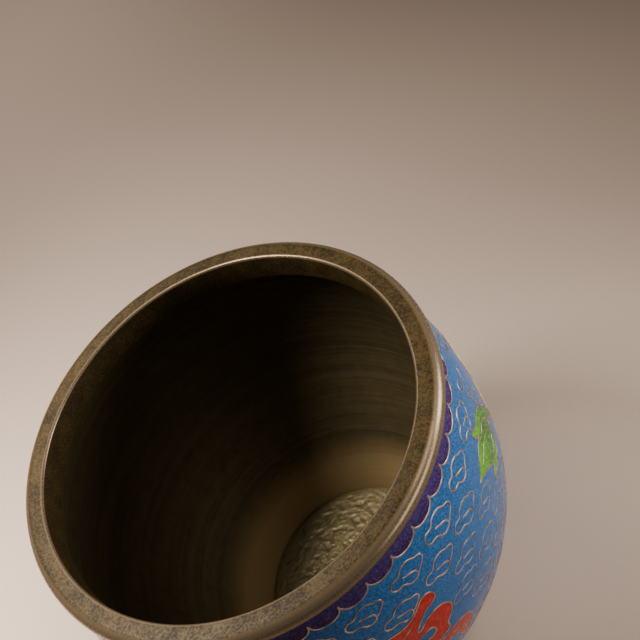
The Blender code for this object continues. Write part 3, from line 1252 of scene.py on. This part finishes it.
border_tree = make_border_tree()
rim_border = make_border("rim_border_wires", rim_scallop, SCALLOPS, cusp_height)
foot_border = make_border("foot_border_wires", foot_scallop, FOOT_SCALLOPS, FOOT_CUSP_HEIGHT)
print("rim border:", len(rim_border.data.polygons), "faces")
print("foot border:", len(foot_border.data.polygons), "faces")

# %% [markdown]
# ## The turned metal
#
# The rings and the bowl are turned shapes: a closed outline of radius and height swept round
# the axis. The Screw or Spin tools would do it, but building the rings of corners directly
# keeps the seam closed and lets each ring carry how worn it is. The outlines add what the CAD
# leaves out: finer arcs, softened edges, and the ridges that the spinning tool left inside.

# %% A helper for turned pieces
TURN_STEPS = 256
SHAKE_SEED = 1
SHAKE_WAVES = range(2, 9)
SHARP_ANGLE = math.radians(40)


def arc(centre, radius, start, end, steps):
    """Points on an arc, both ends included, with angles in degrees."""
    turns = np.radians(np.linspace(start, end, steps + 1))
    return np.array(centre) + radius * np.stack([np.cos(turns), np.sin(turns)], axis=1)


def fading(most, count):
    """Wear that is strongest in the middle of a run of corners."""
    return most * np.sin(np.linspace(0, math.pi, count))


def turned(name, outline, finish, worn=None, steps=TURN_STEPS, shake=0.0):
    """Turns a closed outline of (radius, height) about the axis, as one smooth closed piece."""
    count = len(outline)
    turns = np.linspace(0, 2 * math.pi, steps, endpoint=False)
    radius = np.tile(outline[:, 0], (steps, 1))
    height = np.tile(outline[:, 1], (steps, 1))
    if shake:
        random = np.random.default_rng(SHAKE_SEED)
        for wave in SHAKE_WAVES:
            size, phase = random.normal(0, shake / wave), random.uniform(0, 2 * math.pi)
            radius += size * np.sin(wave * turns + phase)[:, None]
    points = [radius * np.cos(turns)[:, None], radius * np.sin(turns)[:, None], height]
    here = np.arange(steps)[:, None] * count + np.arange(count)
    after = np.roll(here, -1, axis=0)
    corners = [here, after, np.roll(after, -1, axis=1), np.roll(here, -1, axis=1)]
    mesh = bpy.data.meshes.new(name)
    faces = np.stack(corners, axis=-1).reshape(-1, 4)
    mesh.from_pydata(np.stack(points, axis=-1).reshape(-1, 3).tolist(), [], faces.tolist())
    if worn is not None:
        wear = np.tile(worn, steps).astype(np.float32)
        mesh.attributes.new("worn", "FLOAT", "POINT").data.foreach_set("value", wear)
    shape = bmesh.new()
    shape.from_mesh(mesh)
    bmesh.ops.recalc_face_normals(shape, faces=shape.faces)
    shape.to_mesh(mesh)
    shape.free()
    mesh.shade_smooth()
    mesh.set_sharp_from_angle(angle=SHARP_ANGLE)
    mesh.materials.append(finish)
    return add_object(name, mesh)


print("turned pieces have", TURN_STEPS, "steps")

# %% [markdown]
# ### The rim ring
#
# The ring on the mouth has a half-round bead outside, a flat land on top and a short collar
# that drops inside. Its edges are soft, because the ring is polished after it is soldered on.
# Hands rub the outside of the bead and the inner lip, so those rings of corners are marked as
# worn, and the brass there shines through its patina.

# %% Make the rim ring
BEAD_RADIUS = 0.0029
BEAD_OVERHANG = 0.0022
LIP_ROUND = 0.0008
COLLAR_THICKNESS = 0.0014
COLLAR_DEPTH = 0.009
COLLAR_EDGE = 0.0003
BEAD_WORN_FROM = 2
BEAD_WORN_TO = 18
BEAD_WEAR = 0.62
LIP_WEAR = 0.55
RIM_SHAKE = 0.00005
mouth_radius = ring_line("rim_ring", min)[0, 0]


def make_rim():
    """The rim ring with its worn crown and lip."""
    top = rim_top * MM
    bead_centre = (coat_line[-1, 0] + BEAD_OVERHANG - BEAD_RADIUS, top - BEAD_RADIUS)
    lip_centre = (mouth_radius + LIP_ROUND, top - LIP_ROUND)
    collar = mouth_radius + COLLAR_THICKNESS
    foot = top - COLLAR_DEPTH + COLLAR_EDGE
    bead = arc(bead_centre, BEAD_RADIUS, 90, -90, 28)
    outer_edge = arc((collar - COLLAR_EDGE, foot), COLLAR_EDGE, 0, -90, 4)
    inner_edge = arc((mouth_radius + COLLAR_EDGE, foot), COLLAR_EDGE, -90, -180, 4)
    lip = arc(lip_centre, LIP_ROUND, 180, 90, 8)
    land = np.linspace(lip[-1], bead[0], 7)[1:-1]
    parts = [bead, [(collar, top - 2 * BEAD_RADIUS)], outer_edge, inner_edge, lip, land]
    wear = [np.zeros(len(part)) for part in parts]
    wear[0][BEAD_WORN_FROM:BEAD_WORN_TO] = fading(BEAD_WEAR, BEAD_WORN_TO - BEAD_WORN_FROM)
    wear[4] = fading(LIP_WEAR, len(lip))
    outline, wear = np.concatenate(parts), np.concatenate(wear)
    return turned("rim_ring_dressed", outline, ring_brass, wear, shake=RIM_SHAKE)


rim = make_rim()
print("rim ring:", len(rim.data.polygons), "faces")

# %% [markdown]
# ### The bowl
#
# Spinning presses a flat disc over a wooden form with a rounded tool, which leaves fine ridges
# round the inside. They are real here, a few hundredths of a millimetre high, from seeded
# random waves along the wall, and the finish adds the finest lines. The outside of the bowl is
# covered by the enamel, so it stays plain.

# %% Make the bowl
RIDGE_STATIONS = 250
RIDGE_HEIGHT = 0.000022
RIDGE_WAVES = (17, 29, 43, 61, 83)
RIDGE_SEED = 5
OUTSIDE_STATIONS = 40
BOWL_STEPS = 224


def make_bowl():
    """The spun bowl, ridged inside and plain outside."""
    random = np.random.default_rng(RIDGE_SEED)
    inside = smooth_line(ring_line("vessel_wall", min), RIDGE_STATIONS)
    run = np.linspace(0, 1, RIDGE_STATIONS)
    ridges = np.zeros(RIDGE_STATIONS)
    for waves in RIDGE_WAVES:
        ridges += random.uniform(0.4, 1.0) * np.sin(2 * math.pi * (waves * run + random.uniform()))
    ridges += random.normal(0, 0.7, RIDGE_STATIONS)
    ridges[[0, -1]] = 0
    inside[:, 0] += ridges * RIDGE_HEIGHT
    outside = smooth_line(ring_line("vessel_wall", max), OUTSIDE_STATIONS)
    outline = np.concatenate([outside, inside[::-1]])
    return turned("vessel_wall_dressed", outline, spun_bronze, steps=BOWL_STEPS)


bowl = make_bowl()
print("bowl:", len(bowl.data.polygons), "faces")

# %% [markdown]
# ### The foot ring
#
# The photo hides the foot, so it follows the rim: a plain brass ring with a half-round edge and
# a flat underside, its corners broken by polishing.

# %% Make the foot ring
FOOT_EDGE = 0.0003
FOOT_WEAR = 0.3
FOOT_STEPS = 160


def make_foot():
    """The foot ring, round outside and flat below."""
    low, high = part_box("foot_ring")
    inner = ring_line("foot_ring", min)[:, 0].min()
    radius = high.z / 2
    bead = arc((high.x - radius, radius), radius, 90, -90, 20)
    lower = arc((inner + FOOT_EDGE, FOOT_EDGE), FOOT_EDGE, -90, -180, 3)
    upper = arc((inner + FOOT_EDGE, high.z - FOOT_EDGE), FOOT_EDGE, 180, 90, 3)
    outline = np.concatenate([bead, lower, upper])
    wear = np.zeros(len(outline))
    wear[: len(bead)] = fading(FOOT_WEAR, len(bead))
    return turned("foot_ring_dressed", outline, ring_brass, wear, steps=FOOT_STEPS)


foot = make_foot()
print("foot ring:", len(foot.data.polygons), "faces")

# %% [markdown]
# ### The crinkled floor
#
# The disc in the floor is thin brass, crumpled like foil all over, which throws small sharp
# lights. Sculpting could crumple it by hand, but noise folded at its middle does it by a rule:
# it has the sharp ridges and broad hollows of creased metal. A second, finer one lies on it.

# %% Fold noise into crinkles
FLOOR_INPUTS = {
    "Radius": "NodeSocketFloat",
    "Thickness": "NodeSocketFloat",
    "Underside": "NodeSocketFloat",
    "Crease Scale": "NodeSocketFloat",
    "Crease Depth": "NodeSocketFloat",
    "Seed": "NodeSocketFloat",
    "Finish": "NodeSocketMaterial",
}


FLAT_EDGE = 0.0012
CRUMPLE_SCALE = 2.3
CRUMPLE_SHARE = 0.45
FOLD_LEVEL = 0.7


def ridged(tree, place, scale, seed):
    """Noise folded at its middle, so that it has sharp ridges, from 0 to 1."""
    settings = {"Vector": place, "W": seed, "Scale": scale, "Detail": 2.0, "Distortion": 0.9}
    noise = add_step(tree, "ShaderNodeTexNoise", settings, noise_dimensions="4D")
    away = add_math(tree, "ABSOLUTE", add_math(tree, "SUBTRACT", noise, 0.5))
    return add_math(tree, "SUBTRACT", 1.0, add_math(tree, "MULTIPLY", away, 4.0))


def crinkles(tree, given, place):
    """Folds with a finer crumple on them, which fade out just inside the disc's edge."""
    finer = add_math(tree, "MULTIPLY", given["Crease Scale"], CRUMPLE_SCALE)
    folds = ridged(tree, place, given["Crease Scale"], given["Seed"])
    crumple = ridged(tree, place, finer, given["Seed"])
    crumple = add_math(tree, "MULTIPLY", crumple, CRUMPLE_SHARE)
    height = add_math(tree, "SUBTRACT", add_math(tree, "ADD", folds, crumple), FOLD_LEVEL)
    out = add_node(tree, "ShaderNodeVectorMath", {0: place}, operation="LENGTH").outputs["Value"]
    fade = rescale(tree, add_math(tree, "SUBTRACT", given["Radius"], out), 0.0, FLAT_EDGE)
    return add_math(tree, "MULTIPLY", height, fade)


print("crinkles fade over the last", FLAT_EDGE / MM, "mm")

# %% [markdown]
# ### The floor disc
#
# The tree starts from a finely divided disc, lifts the corners of its top by the crinkles and
# sets it down at its height. How low a place lies is kept as the attribute crease, for the
# patina. A bump in the material alone would look flat at the disc's edge and in the mesh.

# %% Make the floor disc
FLOOR_STEPS = 230
FLOOR_RINGS = 74
CREASE_LEVEL = 0.45


def make_floor_tree():
    """A disc with a crinkled top."""
    tree, given, result = new_tree("crinkled_floor", FLOOR_INPUTS)
    disc = {
        "Vertices": FLOOR_STEPS,
        "Fill Segments": FLOOR_RINGS,
        "Radius": given["Radius"],
        "Depth": given["Thickness"],
    }
    plate = add_step(tree, "GeometryNodeMeshCylinder", disc)
    place = add_step(tree, "GeometryNodeInputPosition")
    height = crinkles(tree, given, place)
    hollow = add_math(tree, "SUBTRACT", CREASE_LEVEL, height)
    kept = {"Geometry": plate, "Name": "crease", "Value": hollow}
    lift = {
        "Geometry": add_step(tree, "GeometryNodeStoreNamedAttribute", kept),
        "Selection": add_math(tree, "GREATER_THAN", axes(tree, place)["Z"], 0.0),
        "Offset": vector(tree, z=add_math(tree, "MULTIPLY", height, given["Crease Depth"])),
    }
    crinkled = add_step(tree, "GeometryNodeSetPosition", lift)
    middle = add_math(tree, "MULTIPLY_ADD", given["Thickness"], 0.5, given["Underside"])
    move = {"Geometry": crinkled, "Translation": vector(tree, z=middle)}
    end_with_finish(tree, given, result, add_step(tree, "GeometryNodeTransform", move))
    return tree


floor_low, floor_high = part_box("floor_disc")
floor_settings = {
    "Radius": floor_high.x,
    "Thickness": floor_high.z - floor_low.z,
    "Underside": floor_low.z,
    "Crease Scale": 330.0,
    "Crease Depth": 0.00042,
    "Seed": 3.0,
    "Finish": crinkled_brass,
}
floor_start = points_object("floor_start", [])
floor_disc = finished(floor_start, make_floor_tree(), floor_settings, "floor_disc_dressed")
floor_disc.data.shade_smooth()
floor_disc.data.set_sharp_from_angle(angle=math.radians(55))
print("floor disc:", len(floor_disc.data.polygons), "faces")

# %% [markdown]
# ## Lights and floor
#
# In the photo the right half of the inside is lit and the left half stays black, so the key is
# a small soft light high behind on the left. Its cone points down beside the planter, which
# makes the backdrop palest at the lower left. A weak light above it reaches the rest of the
# floor disc, and one behind stands where the ring's flat top mirrors it. A tall light on the
# right draws the long streak on the bead, and a low one in front lights the enamel. Three narrow
# cones fill the backdrop.

# %% Light the scene
WARM = (1.0, 0.93, 0.86)
NEUTRAL = (1.0, 0.97, 0.94)


def add_light(name, place, target, size, power, colour, spread):
    """A soft rectangular light at a place, aimed at a target, with its spread in degrees."""
    data = bpy.data.lights.new(name, "AREA")
    data.shape = "RECTANGLE"
    data.size, data.size_y = size
    data.energy = power
    data.color = colour
    data.spread = math.radians(spread)
    light = add_object(name, data)
    aim = Vector(target) - Vector(place)
    turn = aim.to_track_quat("-Z", "Y").to_matrix().to_4x4()
    light.matrix_world = Matrix.Translation(place) @ turn
    light.visible_camera = False
    return light


BELLY = (0, 0, 0.08)
LIGHTS = [
    ("key", (-0.1431, 0.1118, 0.4364), (-0.135, 0.09, 0), (0.12, 0.08), 1.40, WARM, 110),
    ("high", (-0.0535, 0.0637, 0.471), BELLY, (0.14, 0.14), 0.020, WARM, 60),
    ("back", (-0.035, 0.286, 0.392), (0, 0, 0.114), (0.20, 0.10), 0.13, WARM, 90),
    ("rim_light", (0.361, -0.117, 0.165), (0.045, -0.01, 0.114), (0.13, 0.22), 0.10, NEUTRAL, 40),
    ("front", (0.264, -0.314, 0.125), BELLY, (0.35, 0.10), 0.14, NEUTRAL, 80),
    ("right_floor", (0.17, -0.10, 0.26), (0.055, -0.04, 0), (0.10, 0.10), 0.06, WARM, 50),
    ("left_floor", (-0.30, 0.10, 0.25), (-0.16, 0.12, 0), (0.12, 0.12), 0.30, WARM, 60),
    ("far_floor", (0.02, 0.50, 0.45), (0.06, 0.50, 0), (0.20, 0.20), 0.21, WARM, 70),
]
lights = [add_light(*row) for row in LIGHTS]

world = bpy.data.worlds.new("studio")
world.use_nodes = True
soft_fill = {"Color": (0.9, 0.86, 0.82, 1), "Strength": 0.04}
fill_inputs(world.node_tree.nodes["Background"], soft_fill)
bpy.context.scene.world = world
print("lights:", ", ".join(light.name for light in lights))

# %% [markdown]
# ### The backdrop
#
# The planter stands on one plain sheet of pale card, which is also all that the picture shows
# behind it. Two shades that are nearly alike give the card a faint tooth.

# %% Lay the card
FLOOR_SIZE = 3.0
CARD_SHADES = ((0.48, 0.365, 0.290), (0.50, 0.38, 0.303))


def make_floor():
    """A plain pale sheet of card with a faint tooth."""
    finish, tree, shader, place = new_finish("pale_card")
    shade = rescale(tree, grains(tree, place, 900, 3), 0.3, 0.7)
    fill_inputs(shader, {"Base Color": add_blend(tree, shade, *CARD_SHADES), "Roughness": 0.8})
    shape = bmesh.new()
    bmesh.ops.create_grid(shape, x_segments=8, y_segments=8, size=FLOOR_SIZE / 2)
    mesh = bpy.data.meshes.new("studio_floor")
    shape.to_mesh(mesh)
    shape.free()
    mesh.materials.append(finish)
    return add_object("studio_floor", mesh)


studio_floor = make_floor()
print(f"card: {FLOOR_SIZE} m across")

# %% [markdown]
# ## The pieces on the body
#
# Every piece rides on the part's one body. The CAD node that a piece stands for is hidden, and the
# finish slot named for it is printed. The wires stand for no node of their own, because in the
# CAD they are part of the enamel coat.

# %% Ride, slot and replace
PIECES = [
    (coat, "cloisonne_enamel", "enamel_coat"),
    (bowl, "dark_bronze", "vessel_wall"),
    (rim, "antique_brass", "rim_ring"),
    (foot, "antique_brass", "foot_ring"),
    (floor_disc, "hammered_brass", "floor_disc"),
    (motif_wires, "antique_brass", None),
    (cloud_wires, "antique_brass", None),
    (rim_border, "antique_brass", None),
    (foot_border, "antique_brass", None),
]

for piece, slot, node in PIECES:
    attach(piece, "root")
    if node:
        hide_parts(node)
    triangles = sum(len(face.vertices) - 2 for face in piece.data.polygons)
    print(f"{piece.name}: {triangles} triangles, slot {slot}")
